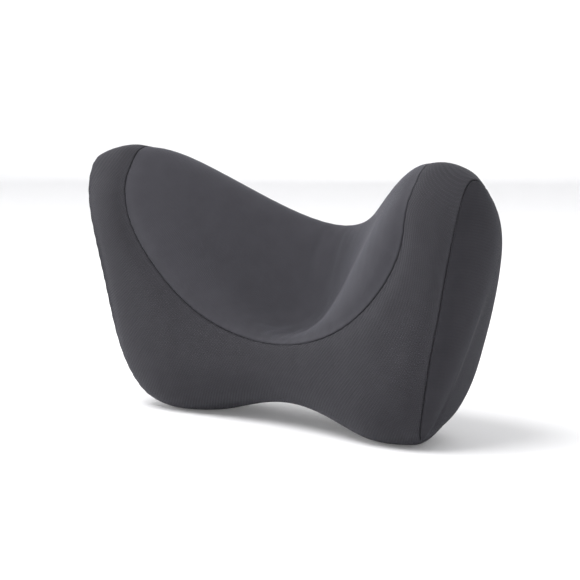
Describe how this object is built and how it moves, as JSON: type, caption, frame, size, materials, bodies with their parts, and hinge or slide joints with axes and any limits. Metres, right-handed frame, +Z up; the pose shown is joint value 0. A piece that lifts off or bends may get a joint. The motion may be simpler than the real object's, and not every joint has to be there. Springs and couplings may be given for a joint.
{
  "type": "headrest cushion",
  "caption": "Wing-shaped foam headrest cushion for a chair, with a curved neck cradle, a zipped padded fabric cover and an adjustable elastic strap behind.",
  "frame": {"origin": "centre of the footprint, on the surface that the cushion stands on", "axes": "+Z up, +X to the right seen from the front, and the front that the neck rests in faces -Y; the back that lies on the chair faces +Y"},
  "size_m": [0.3264, 0.1012, 0.1797],
  "materials": {
    "cradle_fabric": "fine smooth knit, dark charcoal grey",
    "band_fabric": "fine diagonal twill knit, dark charcoal grey",
    "gusset_fabric": "smooth knit, dark charcoal grey",
    "back_fabric": "fine twill knit, dark charcoal grey",
    "foam": "open-cell memory foam",
    "liner_cloth": "thin plain black jersey",
    "zipper_tape": "woven zipper tape",
    "zipper_coil": "nylon coil",
    "zipper_metal": "dark gunmetal coating",
    "strap_elastic": "ribbed woven elastic",
    "buckle_plastic": "moulded satin black"
  },
  "bodies": {
    "cushion": {"cradle_panel": "cradle_fabric", "band_panel": "band_fabric", "gusset_left": "gusset_fabric", "gusset_right": "gusset_fabric", "back_panel": "back_fabric", "foam_liner": "liner_cloth", "foam_core": "foam", "zipper_tape_upper": "zipper_tape", "zipper_tape_lower": "zipper_tape", "zipper_coil_upper": "zipper_coil", "zipper_coil_lower": "zipper_coil", "zipper_stop_left": "zipper_metal", "zipper_stop_right": "zipper_metal", "strap_ring": "buckle_plastic", "ring_tab": "strap_elastic"},
    "zip_slider": {"zipper_slider": "zipper_metal"},
    "zip_pull": {"zipper_pull": "zipper_metal"},
    "strap": {"strap_webbing": "strap_elastic"},
    "adjuster": {"strap_adjuster": "buckle_plastic"}
  },
  "joints": [
    {"name": "zipper_travel", "type": "slide", "parent": "cushion", "child": "zip_slider", "axis": [-1, 0, 0], "range_m": [0, 0.171], "deforming": ["zipper_coil_upper", "zipper_coil_lower"]},
    {"name": "pull_flip", "type": "hinge", "parent": "zip_slider", "child": "zip_pull", "pos_m": [0.087, 0.04764, 0.04], "axis": [0, 0, -1], "range_deg": [0, 175]},
    {"name": "strap_stretch", "type": "slide", "parent": "cushion", "child": "strap", "axis": [0, 1, 0], "range_m": [0, 0.06], "stiffness_N_per_m": 60, "deforming": ["strap_webbing"]},
    {"name": "strap_adjust", "type": "slide", "parent": "strap", "child": "adjuster", "axis": [-1, 0, 0], "range_m": [0, 0.035]}
  ]
}
